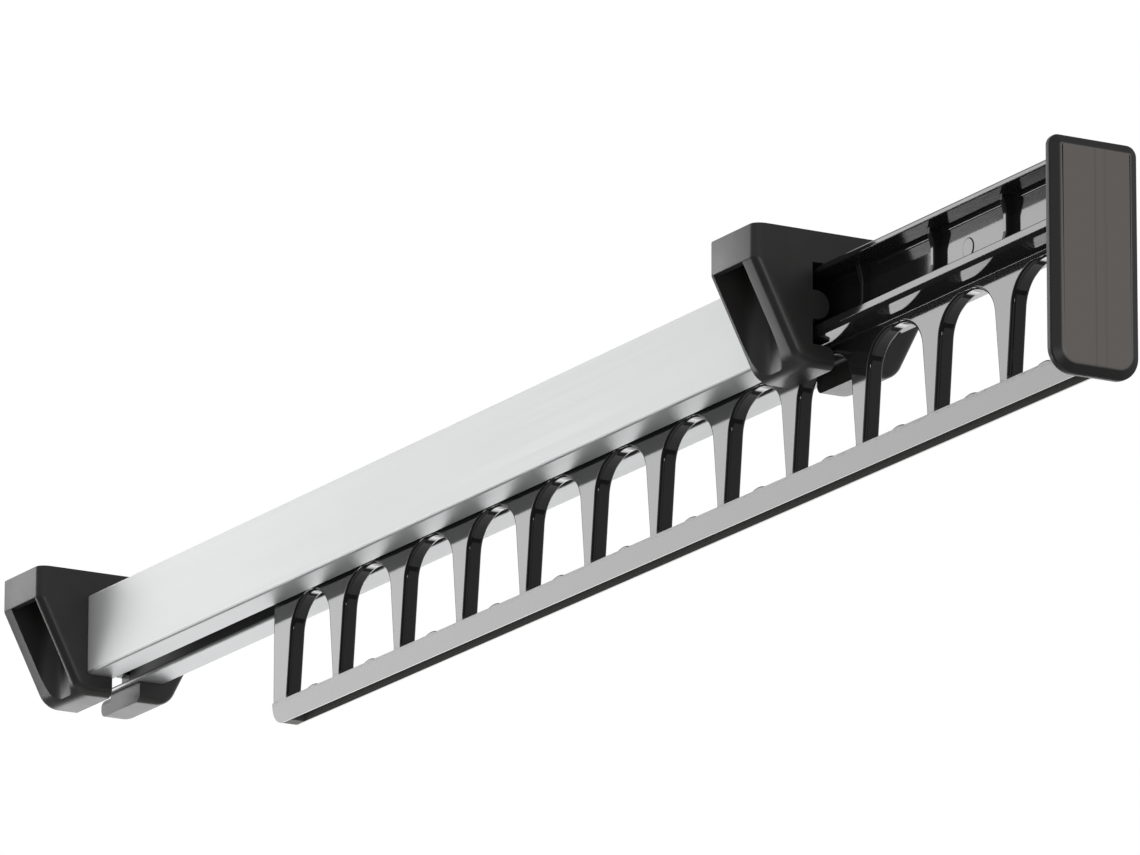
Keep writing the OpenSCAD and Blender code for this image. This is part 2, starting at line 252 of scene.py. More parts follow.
@dataclass
class Surface:
    """Points, their normals, and faces of three or four corners."""

    points: list[np.ndarray] = field(default_factory=list)
    normals: list[np.ndarray] = field(default_factory=list)
    faces: list[np.ndarray] = field(default_factory=list)
    count: int = 0

    def grid(self, points: np.ndarray, normals: np.ndarray) -> np.ndarray:
        """Adds a grid of points whose last column joins its first.

        A face joins (r, k), (r, k + 1), (r + 1, k + 1) and (r + 1, k).

        Args:
            points: Points, (rows, columns, 3).
            normals: Outward normals, (rows, columns, 3).

        Returns:
            The points' numbers in the surface, (rows, columns).
        """
        rows, columns = points.shape[:2]
        index = np.arange(rows * columns).reshape(rows, columns) + self.count
        beside = np.roll(index, -1, axis=1)
        quads = np.stack([index[:-1], beside[:-1], beside[1:], index[1:]], axis=-1)
        self.points.append(points.reshape(-1, 3))
        self.normals.append(normals.reshape(-1, 3))
        self.faces.append(quads.reshape(-1, 4))
        self.count += rows * columns
        return index

    def lofted(
        self,
        plane: Plane,
        flats: Sequence[np.ndarray],
        normals: Sequence[np.ndarray],
        level: np.ndarray,
        lean: np.ndarray,
    ) -> None:
        """Adds a closed body from loops that change from row to row.

        Args:
            plane: The loops' plane.
            flats: For each loop its points, (rows, columns, 2). The first is the outer one.
            normals: For each loop its outward normals in the plane, of the same shape.
            level: Where each row lies along the axis.
            lean: How far each row's normals lean towards the axis, in radians.
        """
        ends = []
        for flat, outward in zip(flats, normals):
            along = np.broadcast_to(level[:, None], flat.shape[:2])
            up = np.broadcast_to(np.sin(lean)[:, None], flat.shape[:2])
            numbers = self.grid(
                plane.place(flat, along), plane.place(outward * np.cos(lean)[:, None, None], up)
            )
            ends.append((numbers[0], numbers[-1]))
        for row, way in ((0, -1.0), (-1, 1.0)):
            loops = [flat[row] for flat in flats]
            numbers = np.concatenate([end[row] for end in ends])
            joined = np.concatenate(loops)
            triangles = np.array(tessellate_polygon([[Vector((*p, 0.0)) for p in loop] for loop in loops]))
            a, b, c = (joined[triangles[:, k]] for k in range(3))
            area = (b[:, 0] - a[:, 0]) * (c[:, 1] - a[:, 1]) - (b[:, 1] - a[:, 1]) * (c[:, 0] - a[:, 0])
            triangles[area * way < 0] = triangles[area * way < 0][:, ::-1]
            self.faces.append(numbers[triangles])

    def carried(
        self,
        plane: Plane,
        outer: Outline,
        low: float,
        high: float,
        low_rim: Rim,
        high_rim: Rim,
        holes: Sequence[Outline] = (),
    ) -> None:
        """Adds a closed body: outlines carried along an axis, with a rim at both ends.

        A point of a row is the outline's point moved in by the rim's inset
        against its normal, at the rim's height. The normal leans from the
        outline's own to the axis as the rim does.

        Args:
            plane: The outlines' plane.
            outer: Outer loop.
            low: Where the low face lies along the axis.
            high: Where the high face lies.
            low_rim: Rim at the low face.
            high_rim: Rim at the high face.
            holes: Loops that run the other way round.
        """
        inset = np.concatenate([low_rim.inset[::-1], high_rim.inset])[:, None, None]
        level = np.concatenate(
            [low + low_rim.rise - low_rim.height[::-1], high - high_rim.rise + high_rim.height]
        )
        lean = np.concatenate([-low_rim.lean[::-1], high_rim.lean])
        loops = (outer, *holes)
        self.lofted(
            plane,
            [loop.points[None] - inset * loop.normals[None] for loop in loops],
            [np.broadcast_to(loop.normals[None], (len(level), *loop.normals.shape)) for loop in loops],
            level,
            lean,
        )

    def build(self, name: str, smooth: bool = True) -> bpy.types.Object:
        """Puts the surface into a mesh object that sits at the origin.

        Args:
            name: The piece's name.
            smooth: Whether it is shaded by the surface's own normals.

        Returns:
            The object, linked.
        """
        mesh = bpy.data.meshes.new(name)
        corners = np.concatenate([f.ravel() for f in self.faces]).astype(np.int32)
        sizes = np.concatenate([np.full(len(f), f.shape[1]) for f in self.faces])
        starts = np.concatenate([[0], np.cumsum(sizes)[:-1]]).astype(np.int32)
        mesh.vertices.add(self.count)
        mesh.vertices.foreach_set("co", np.concatenate(self.points).astype(np.float32).ravel())
        mesh.loops.add(len(corners))
        mesh.loops.foreach_set("vertex_index", corners)
        mesh.polygons.add(len(starts))
        mesh.polygons.foreach_set("loop_start", starts)
        mesh.update(calc_edges=True)
        if smooth:
            mesh.polygons.foreach_set("use_smooth", np.ones(len(starts), bool))
            normals = np.concatenate(self.normals)
            normals /= np.linalg.norm(normals, axis=1, keepdims=True)
            mesh.normals_split_custom_set_from_vertices(normals)
        piece = bpy.data.objects.new(name, mesh)
        bpy.context.scene.collection.objects.link(piece)
        return piece


def millimetres(
    corners: Sequence[Sequence[float]], radii: float | Sequence[float], steps: int = 6
) -> Outline:
    """A rounded polygon given in millimetres, as an outline in metres."""
    return Outline.rounded(corners, radii, steps).scaled(MM)


def rectangle(left: float, right: float, low: float, high: float) -> list[Pair]:
    """The corners of an upright rectangle, anticlockwise from the lower left."""
    return [(left, low), (right, low), (right, high), (left, high)]


def mirrored(corners: Sequence[Sequence[float]]) -> list[Pair]:
    """The same corners on the other side of the middle, in the reverse order."""
    return [(-x, y) for x, y in corners[::-1]]


# Shader maths


class Signal:
    """A socket that takes part in expressions. Each operator adds a Math node."""

    def __init__(self, nodes: Nodes, socket: bpy.types.NodeSocket) -> None:
        """Keeps the socket and the nodes that it belongs to."""
        self.nodes = nodes
        self.socket = socket

    def _math(self, operation: str, *values: Signal | float) -> Signal:
        """A Math node over these values."""
        return self.nodes.node("ShaderNodeMath", {"operation": operation}, dict(enumerate(values)))

    def __add__(self, other: Signal | float) -> Signal:
        """Sum."""
        return self._math("ADD", self, other)

    def __radd__(self, other: float) -> Signal:
        """Sum with a number in front."""
        return self._math("ADD", other, self)

    def __sub__(self, other: Signal | float) -> Signal:
        """Difference."""
        return self._math("SUBTRACT", self, other)

    def __rsub__(self, other: float) -> Signal:
        """Difference from a number."""
        return self._math("SUBTRACT", other, self)

    def __mul__(self, other: Signal | float) -> Signal:
        """Product."""
        return self._math("MULTIPLY", self, other)

    def __rmul__(self, other: float) -> Signal:
        """Product with a number in front."""
        return self._math("MULTIPLY", other, self)

    def abs(self) -> Signal:
        """Size without sign."""
        return self._math("ABSOLUTE", self)

    def least(self, other: Signal | float) -> Signal:
        """The smaller of two."""
        return self._math("MINIMUM", self, other)

    def most(self, other: Signal | float) -> Signal:
        """The larger of two."""
        return self._math("MAXIMUM", self, other)

    def step(self, start: float, end: float) -> Signal:
        """Rises smoothly from 0 at start to 1 at end.

        Args:
            start: Where it leaves 0.
            end: Where it reaches 1. It may lie below start.

        Returns:
            The mask.
        """
        low, high = min(start, end), max(start, end)
        mask = self.nodes.node(
            "ShaderNodeMapRange",
            {"interpolation_type": "SMOOTHSTEP"},
            {"Value": self, "From Min": low, "From Max": high},
        )
        return mask if start < end else 1 - mask

    def between(self, low: float, high: float) -> Signal:
        """A mask stretched to run from low, where it is 0, to high, where it is 1."""
        return self * (high - low) + low


@dataclass(frozen=True)
class Grain:
    """Cloudy noise. Its values lie round 0.5.

    The scale is lumps to a metre along X, Y and Z. The detail is octaves of finer
    lumps, and the rest is the share that each finer octave keeps.
    """

    scale: Triple
    detail: float = 2.0
    rest: float = 0.5


class Nodes:
    """The node tree of a material or of the world."""

    def __init__(self, owner: bpy.types.Material | bpy.types.World) -> None:
        """Empties the owner's tree.

        Args:
            owner: The material or world that the nodes are for.
        """
        owner.use_nodes = True
        self.tree = owner.node_tree
        self.tree.nodes.clear()

    def feed(self, socket: bpy.types.NodeSocket, value: Any) -> None:
        """Sets a socket's value, or links a signal to it.

        Args:
            socket: The input.
            value: A value or a signal.
        """
        if isinstance(value, Signal):
            self.tree.links.new(value.socket, socket)
        else:
            socket.default_value = value

    def node(
        self,
        kind: str,
        settings: Mapping[str, Any] | None = None,
        values: Mapping[int | str, Any] | None = None,
        output: int | str = 0,
    ) -> Signal:
        """Adds any node that has an output.

        Args:
            kind: The node's type.
            settings: Attributes, which are set first.
            values: Values or signals for its inputs, by name or number.
            output: Which output is used.

        Returns:
            The chosen output.
        """
        made = self.tree.nodes.new(kind)
        for name, value in (settings or {}).items():
            setattr(made, name, value)
        for key, value in (values or {}).items():
            self.feed(made.inputs[key], value)
        return Signal(self, made.outputs[output])

    def axes(self, output: str) -> tuple[Signal, Signal, Signal]:
        """The X, Y and Z of a texture coordinate.

        Args:
            output: Which texture coordinate.

        Returns:
            The three signals.
        """
        place = self.node("ShaderNodeTexCoord", output=output)
        split = self.node("ShaderNodeSeparateXYZ", values={0: place}).socket.node
        return tuple(Signal(self, socket) for socket in split.outputs)

    def end(self, kind: str, signal: Signal) -> None:
        """Adds an output node of this type and feeds its first input."""
        self.feed(self.tree.nodes.new(kind).inputs[0], signal)


class Shader(Nodes):
    """The node tree of one material, with a Principled surface."""

    def __init__(self, name: str) -> None:
        """Makes the material.

        Args:
            name: The material's name.
        """
        self.material = bpy.data.materials.new(name)
        super().__init__(self.material)
        made = self.node("ShaderNodeBsdfPrincipled")
        self.surface = made.socket.node
        self.end("ShaderNodeOutputMaterial", made)

    def noise(self, grain: Grain) -> Signal:
        """Noise over the piece as it lies at rest.

        Args:
            grain: Its lumps.

        Returns:
            The noise, from 0 to 1.
        """
        place = self.node("ShaderNodeTexCoord", output="Object")
        stretched = self.node("ShaderNodeMapping", values={"Vector": place, "Scale": grain.scale})
        return self.node("ShaderNodeTexNoise", values={
            "Vector": stretched, "Scale": 1.0, "Detail": grain.detail, "Roughness": grain.rest
        })

    def tint(
        self, amount: Signal, low: Signal | Sequence[float], high: Signal | Sequence[float]
    ) -> Signal:
        """A colour between two.

        Args:
            amount: 0 for the first colour and 1 for the second.
            low: First colour.
            high: Second colour.

        Returns:
            The mixed colour.
        """
        first, second = (c if isinstance(c, Signal) else (*c, 1.0) for c in (low, high))
        return self.node("ShaderNodeMix", {"data_type": "RGBA"}, {0: amount, 6: first, 7: second}, 2)

    def bump(self, height: Signal, depth: float) -> Signal:
        """A bumped normal.

        Args:
            height: Height from 0 to 1.
            depth: What 1 stands for, in millimetres.

        Returns:
            The normal.
        """
        return self.node(
            "ShaderNodeBump", values={"Strength": 1.0, "Distance": depth * MM, "Height": height}
        )

    def finish(self, **values: Any) -> bpy.types.Material:
        """Feeds the surface's sockets.

        Args:
            values: Values or signals by socket name, with _ for a space.

        Returns:
            The material.
        """
        for name, value in values.items():
            self.feed(self.surface.inputs[name.replace("_", " ").title()], value)
        return self.material


# Finishes


@dataclass(frozen=True)
class SatinAluminium:
    """Extruded and anodised: fine lines along the rail under a soft sheen. Millimetres.

    The two sides are paler than the underside. Inside, where little light
    comes, the colour is painted dark: painted shade.
    """

    colour: Colour = (0.60, 0.61, 0.615)
    lighter: Colour = (0.64, 0.65, 0.655)
    side_colour: Colour = (0.86, 0.87, 0.87)
    # Painted shade: colour of the inner faces, darkened because little light reaches them
    inside: Colour = (0.10, 0.10, 0.10)
    side_metal: float = 0.7
    roughness: float = 0.45
    side_roughness: float = 0.13
    line_roughness: float = 0.06
    cloud_roughness: float = 0.04
    # Depth of the outer skin, and of the change below it
    skin: float = 0.6
    fade: float = 0.3
    lines: Grain = Grain((2600.0, 6.0, 2600.0), 3.0, 0.6)
    line_contrast: float = 2.2
    cloud: Grain = Grain((30.0, 9.0, 30.0))
    pits: Grain = Grain((5200.0, 5200.0, 5200.0), 1.0)
    depth: float = 0.004

    def make(self) -> bpy.types.Material:
        """Builds the material.

        Returns:
            The material.
        """
        look = Shader("satin_aluminium")
        low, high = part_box("channel_profile")
        x, _, z = look.axes("Object")
        near, far = self.skin * MM, (self.skin + self.fade) * MM
        side = z.step(low.z + near, low.z + far)
        # Mask of the channel's inner faces, which get the painted shade colour
        painted_inner_shade = side * x.abs().step(high.x - near, high.x - far) * z.step(high.z - near, high.z - far)
        lines = (look.noise(self.lines) - 0.5) * self.line_contrast + 0.5
        cloud = look.noise(self.cloud)
        drawn = look.tint(lines * 0.6 + cloud * 0.4, self.colour, self.lighter)
        shade = lines * self.line_roughness + cloud * self.cloud_roughness + side * self.side_roughness
        return look.finish(
            base_color=look.tint(painted_inner_shade, look.tint(side, drawn, self.side_colour), self.inside),
            metallic=side.between(1.0, self.side_metal),
            roughness=shade + self.roughness,
            normal=look.bump(lines * 0.8 + look.noise(self.pits) * 0.2, self.depth),
        )


@dataclass(frozen=True)
class GlossPlastic:
    """Black moulded plastic with a smooth skin: soft flow lines and fine rubbing. Millimetres.

    Hangers rub the bar's top. The bar's groove is as moulded: duller and rougher.
    """

    colour: Colour = (0.012, 0.012, 0.012)
    worn: Colour = (0.05, 0.05, 0.05)
    dull: Colour = (0.10, 0.099, 0.096)
    roughness: float = 0.06
    flow_roughness: float = 0.05
    worn_roughness: float = 0.16
    dull_roughness: float = 0.5
    # Distances from the bar's top where rubbing begins and is full
    rubbed: Pair = (1.6, 0.2)
    groove_top: float = -56.2
    groove_half: float = 2.05
    groove_fade: Pair = (0.2, 0.05)
    skin: Grain = Grain((420.0, 160.0, 420.0))
    flow: Grain = Grain((90.0, 14.0, 60.0), 3.0, 0.55)
    hairs: Grain = Grain((7000.0, 500.0, 7000.0))
    hair_edges: Pair = (0.48, 0.62)
    depth: float = 0.008

    def make(self) -> bpy.types.Material:
        """Builds the material.

        Returns:
            The material.
        """
        look = Shader("gloss_plastic")
        x, _, z = (axis * (1 / MM) for axis in look.axes("Object"))
        flow = look.noise(self.flow)
        rubbed = (z - BAR_TOP).abs().step(*self.rubbed) * look.noise(self.hairs).step(*self.hair_edges)
        down, aside = self.groove_fade
        groove = z.step(self.groove_top, self.groove_top - down)
        groove = groove * x.abs().step(self.groove_half, self.groove_half - aside)
        smooth = look.tint(rubbed * 0.5 + flow * 0.12, self.colour, self.worn)
        shade = flow * self.flow_roughness + rubbed * self.worn_roughness + groove * self.dull_roughness
        return look.finish(
            base_color=look.tint(groove, smooth, self.dull),
            roughness=shade + self.roughness,
            normal=look.bump(look.noise(self.skin) * 0.6 + flow * 0.4, self.depth),
        )


@dataclass(frozen=True)
class SatinPlastic:
    """Black moulded plastic with a fine spark texture and a soft sheen. Millimetres."""

    colour: Colour = (0.02, 0.019, 0.019)
    lighter: Colour = (0.035, 0.034, 0.033)
    roughness: float = 0.31
    cloud_roughness: float = 0.08
    grain: Grain = Grain((3800.0, 3800.0, 3800.0), 2.0, 0.7)
    cloud: Grain = Grain((120.0, 120.0, 120.0), 3.0)
    depth: float = 0.018

    def make(self) -> bpy.types.Material:
        """Builds the material.

        Returns:
            The material.
        """
        look = Shader("satin_plastic")
        cloud = look.noise(self.cloud)
        return look.finish(
            base_color=look.tint(cloud, self.colour, self.lighter),
            roughness=cloud * self.cloud_roughness + self.roughness,
            normal=look.bump(look.noise(self.grain), self.depth),
        )


@dataclass(frozen=True)
class PlateFinish:
    """The front plate: satin grey-black face with faint seams, and a darker rim. Millimetres.

    A seam is the place of its middle, its half width, and how far in it is full.
    """

    face: Colour = (0.15, 0.138, 0.13)
    rim: Colour = (0.016, 0.015, 0.015)
    roughness: float = 0.38
    cloud_roughness: float = 0.08
    # Place of the front, and how far behind it the rim's colour begins and is full
    front: float = -303.5
    rim_fade: Pair = (0.1, 0.4)
    fine_seam: Triple = (-0.4, 0.35, 0.1)
    broad_seam: Triple = (2.3, 0.7, 0.2)
    seam_depth: float = 0.18
    grain: Grain = Grain((3400.0, 3400.0, 3400.0), 2.0, 0.7)
    cloud: Grain = Grain((60.0, 60.0, 22.0), 3.0)
    depth: float = 0.014

    def make(self) -> bpy.types.Material:
        """Builds the material.

        Returns:
            The material.
        """
        look = Shader("plate_plastic")
        x, y, _ = (axis * (1 / MM) for axis in look.axes("Object"))
        cloud = look.noise(self.cloud)
        behind = (y - self.front).step(*self.rim_fade)
        fine, broad = (
            (x - middle).abs().step(*edges) for middle, *edges in (self.fine_seam, self.broad_seam)
        )
        seam = (fine + broad * 0.5) * (1 - behind)
        return look.finish(
            base_color=look.tint((behind + seam * self.seam_depth).least(1.0), self.face, self.rim),
            roughness=cloud * self.cloud_roughness + self.roughness,
            normal=look.bump(look.noise(self.grain) * 0.7 + cloud * 0.3, self.depth),
        )


@dataclass(frozen=True)
class TurnedFinish:
    """A turned surface: rings round the X axis and a cloudy colour. Millimetres."""

    name: str
    colour: Colour
    lighter: Colour
    metallic: float
    rings: Grain
    cloud: Grain
    ring_roughness: float
    depth: float
    roughness: float = 0.3

    def make(self) -> bpy.types.Material:
        """Builds the material.

        Returns:
            The material.
        """
        look = Shader(self.name)
        rings = look.noise(self.rings)
        return look.finish(
            base_color=look.tint(look.noise(self.cloud), self.colour, self.lighter),
            metallic=self.metallic,
            roughness=rings * self.ring_roughness + self.roughness,
            normal=look.bump(rings, self.depth),
        )


ZINC_STEEL = TurnedFinish(
    "zinc_steel", (0.52, 0.53, 0.55), (0.65, 0.6625, 0.6875), 1.0,
    rings=Grain((9000.0, 600.0, 600.0)), cloud=Grain((400.0, 400.0, 400.0), 3.0),
    ring_roughness=0.12, depth=0.006,
)
ROLLER_PLASTIC = TurnedFinish(
    "roller_plastic", (0.05, 0.05, 0.05), (0.075, 0.075, 0.075), 0.0,
    rings=Grain((6000.0, 200.0, 200.0)), cloud=Grain((300.0, 300.0, 300.0), 3.0),
    ring_roughness=0.1, depth=0.008,
)


@dataclass
class Finishes:
    """Every finish, built once."""

    aluminium: bpy.types.Material
    gloss: bpy.types.Material
    satin: bpy.types.Material
    plate: bpy.types.Material
    zinc: bpy.types.Material
    roller: bpy.types.Material

    @classmethod
    def make(cls) -> Finishes:
        """Builds the materials.

        Returns:
            All of them.
        """
        return cls(
            SatinAluminium().make(),
            GlossPlastic().make(),
            SatinPlastic().make(),
            PlateFinish().make(),
            ZINC_STEEL.make(),
            ROLLER_PLASTIC.make(),
        )


def dress(piece: bpy.types.Object, material: bpy.types.Material, body: str, slot: str, *nodes: str) -> None:
    """Gives a piece its material and body, and lets it stand for CAD nodes.

    Args:
        piece: The finished piece.
        material: Its material.
        body: The body it moves with.
        slot: The record's material slot. It is not used.
        nodes: CAD nodes that it stands for.
    """
    piece.data.materials.clear()
    piece.data.materials.append(material)
    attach(piece, body)
    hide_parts(*nodes)
    LOG.info("%s: %d faces, rides on %s", piece.name, len(piece.data.polygons), body)


@dataclass
class Part:
    """A sub-assembly, with the finishes that its pieces are dressed in."""

    finishes: Finishes


# Guide


@dataclass
class Channel(Part):
    """Aluminium channel: a C-shaped section carried along the rail. Millimetres."""

    wall: float = 1.2
    slot_width: float = 6.2
    corner: float = 0.7
    inner_corner: float = 0.35
    lip_corner: float = 0.3
    cut_edge: float = 0.12

    def section(self, width: float, top: float, bottom: float) -> Outline:
        """The section's outline, anticlockwise from the left lip.

        Args:
            width: Outside width.
            top: Level of the top face.
            bottom: Level of the lips' underside.

        Returns:
            The outline in metres.
        """
        half, inner, slot = width / 2, width / 2 - self.wall, self.slot_width / 2
        low, high = bottom + self.wall, top - self.wall
        corners = [
            (-slot, bottom), (-slot, low), (-inner, low), (-inner, high), (inner, high), (inner, low),
            (slot, low), (slot, bottom), (half, bottom), (half, top), (-half, top), (-half, bottom),
        ]
        lips, inside, outside = [self.lip_corner] * 2, [self.inner_corner] * 4, [self.corner] * 4
        return millimetres(corners, lips + inside + lips + outside)

    def build(self) -> None:
        """Builds and dresses the channel."""
        low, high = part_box("channel_profile")
        surface = Surface()
        edge = Rim.quarter(self.cut_edge, 3)
        section = self.section((high.x - low.x) / MM, high.z / MM, low.z / MM)
        surface.carried(Plane.XZ, section, -high.y, -low.y, edge, edge)
        dress(surface.build("channel_skin"), self.finishes.aluminium, "guide", "channel", "channel_profile")


def solid(
    plane: Plane, outline: Outline, low: float, high: float, name: str, rim: float = 0.05
) -> bpy.types.Object:
    """A closed body that cuts or is cut, flat shaded.

    Args:
        plane: The outline's plane.
        outline: The outline in metres.
        low: Where the body begins along the axis, in metres.
        high: Where it ends.
        name: Its name.
        rim: Width of the chamfers round both ends, in millimetres.

    Returns:
        The body.
    """
    surface = Surface()
    edge = Rim.quarter(rim, 1)
    surface.carried(plane, outline, low, high, edge, edge)
    return surface.build(name, smooth=False)


def cut(block: bpy.types.Object, tools: Sequence[bpy.types.Object]) -> None:
    """Takes closed tools away from a closed block and removes them.

    Args:
        block: The piece that stays, which gets its own finished mesh.
        tools: What is cut away.
    """
    for tool in tools:
        step = block.modifiers.new(tool.name, "BOOLEAN")
        step.operation = "DIFFERENCE"
        step.solver = "EXACT"
        step.object = tool
    made = bpy.data.meshes.new_from_object(block.evaluated_get(bpy.context.evaluated_depsgraph_get()))
    block.modifiers.clear()
    block.data = made
    for tool in tools:
        bpy.data.objects.remove(tool)


def soften(piece: bpy.types.Object, width: float, segments: int = 3) -> None:
    """Rounds the sharp edges of a cut piece and keeps its flat faces flat.

    Args:
        piece: The piece.
        width: Width of the rounding, in millimetres.
        segments: Steps across the rounding.
    """
    piece.data.polygons.foreach_set("use_smooth", np.ones(len(piece.data.polygons), bool))
    edge = piece.modifiers.new("soft_edges", "BEVEL")
    edge.width = width * MM
    edge.segments = segments
    edge.limit_method = "ANGLE"
    edge.angle_limit = math.radians(SHARP)
    edge.harden_normals = True


@dataclass
class Bracket(Part):
    """Moulded end bracket, drawn with its end face at y = 0 and its depth along +Y. Millimetres."""

    width: float = 51.5
    depth: float = 21.8
    bottom: float = -32.9
    # Depth at which the sides begin to slope in, and their slope in degrees
    side: float = 8.4
    slope: float = 27.0
    side_corner: float = 1.5
    foot_corner: float = 6.0
    top_corner: float = 0.3
    round_width: float = 3.2
    round_depth: float = 2.2
    # Left, right, lower and upper side of the seat for the channel
    socket: Quad = (-11.28, 11.28, -27.68, -6.32)
    socket_corner: float = 0.3
    end_wall: float = 4.2
    mouth_half: float = 10.0
    mouth_top: float = -7.6
    channel_bottom: float = -27.6
    slot_half: float = 4.05
    slot_corner: float = 0.1
    lip_corner: float = 2.6
    # Lower and upper side of a stop lug
    lug: Pair = (-21.4, -14.4)
    lug_tip: float = 5.5
    lug_corner: float = 3.45
    # Inner, outer, front and back side of a screw pocket
    pocket: Quad = (12.78, 23.95, 5.75, 19.25)
    pocket_corner: float = 5.0
    pocket_floor: float = -4.9
    # Place across and along, and radius
    hole: Triple = (19.5, 12.5, 2.3)
    small_corner: float = 0.2
    far: float = 60.0
    past: float = 1.0
    soft: float = 0.35
    steps: int = 10

    def _shield(self, inset: float, rise: float) -> Outline:
        """The shield's outline, moved in at its sides and up at its foot.

        Args:
            inset: How far its sides are moved in.
            rise: How far its foot is moved up.

        Returns:
            The outline in millimetres.
        """
        half, low = self.width / 2 - inset, self.bottom + rise
        foot = half - (-self.side - low) * math.tan(math.radians(self.slope))
        corners = [
            (-foot, low), (foot, low), (half, -self.side), (half, 0), (-half, 0), (-half, -self.side)
        ]
        below, side, top = self.foot_corner, self.side_corner, self.top_corner
        return Outline.rounded(corners, [below, below, side, top, top, side], self.steps)

    def _block(self) -> bpy.types.Object:
        """The solid block: shields whose inset and depth follow a quarter ellipse at both faces.

        Returns:
            The block.
        """
        t = np.linspace(0, math.pi / 2, 9)
        share, deep = 1 - np.sin(t), self.round_depth * (1 - np.cos(t))
        rows = [self._shield(self.round_width * s, self.round_depth * s) for s in share]
        rows += rows[::-1]
        level = np.concatenate([deep, self.depth - deep[::-1]])
        surface = Surface()
        surface.lofted(
            Plane.XZ,
            [np.stack([row.points for row in rows[::-1]]) * MM],
            [np.stack([row.normals for row in rows[::-1]])],
            -level[::-1] * MM,
            np.zeros(len(level)),
        )
        return surface.build("bracket_block", smooth=False)

    def _tool(
        self,
        plane: Plane,
        corners: Sequence[Sequence[float]],
        radii: float | Sequence[float],
        low: float,
        high: float,
        name: str,
    ) -> bpy.types.Object:
        """A cutting body: a rounded polygon between two levels, all in millimetres."""
        return solid(plane, millimetres(corners, radii, self.steps), low * MM, high * MM, name)

    def _pocket(self, way: float) -> list[bpy.types.Object]:
        """The tools for one screw pocket and its hole.

        Args:
            way: 1 for the right side and -1 for the left.

        Returns:
            The tools.
        """
        plan = rectangle(*self.pocket)
        radii = [self.pocket_corner, self.small_corner, self.small_corner, self.pocket_corner]
        slit = rectangle(self.pocket[1] - self.past, self.far, *self.pocket[2:])
        if way < 0:
            plan, radii, slit = mirrored(plan), radii[::-1], mirrored(slit)
        hole = Outline.circle(self.hole[2] * MM, (way * self.hole[0] * MM, self.hole[1] * MM))
        start = (self.pocket_floor - self.past) * MM
        return [
            self._tool(Plane.XY, plan, radii, -self.far, self.pocket_floor, "pocket_tool"),
            self._tool(Plane.XY, slit, self.small_corner, -self.far, -self.side, "slit_tool"),
            solid(Plane.XY, hole, start, self.past * MM, "hole_tool"),
        ]

    def _mouth(self) -> bpy.types.Object:
        """The tool for the mouth: the channel's bore with a round lug on each side, and the slot.

        Returns:
            The tool.
        """
        slot, mouth, base = self.slot_half, self.mouth_half, self.bottom - self.past
        (low, high), tip = self.lug, self.lug_tip
        right = [
            (slot, base), (slot, self.channel_bottom), (mouth, self.channel_bottom), (mouth, low),
            (tip, low), (tip, high), (mouth, high), (mouth, self.mouth_top),
        ]
        small, round_lug = [self.small_corner] * 2, [self.lug_corner] * 2
        radii = [self.slot_corner, self.lip_corner, *small, *round_lug, *small]
        corners, radii = right + mirrored(right), radii + radii[::-1]
        return self._tool(Plane.XZ, corners, radii, -self.end_wall - self.past, self.past, "mouth_tool")

    def build(self, name: str, node: str, turned: bool) -> None:
        """Builds and dresses one bracket.

        Args:
            name: The piece's name.
            node: The CAD node that it stands for.
            turned: Whether it is turned round, as at the rear end.
        """
        block = self._block()
        base = self.bottom - self.past
        slot = rectangle(-self.slot_half, self.slot_half, base, self.socket[2] + self.past)
        back = -self.depth - self.past
        tools = [
            self._tool(
                Plane.XZ, rectangle(*self.socket), self.socket_corner, back, -self.end_wall, "socket_tool"
            ),
            self._tool(Plane.XZ, slot, self.slot_corner, back, self.past, "slot_tool"),
            self._mouth(),
            *self._pocket(1.0),
            *self._pocket(-1.0),
        ]
        cut(block, tools)
        low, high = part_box(node)
        end = high.y if turned else low.y
        spin = Matrix.Rotation(math.pi if turned else 0.0, 4, "Z")
        block.data.transform(Matrix.Translation((0, end, 0)) @ spin)
        block.name = name
        block.data.name = name
        soften(block, self.soft)
        dress(block, self.finishes.satin, "guide", "bracket", node)


# Slide


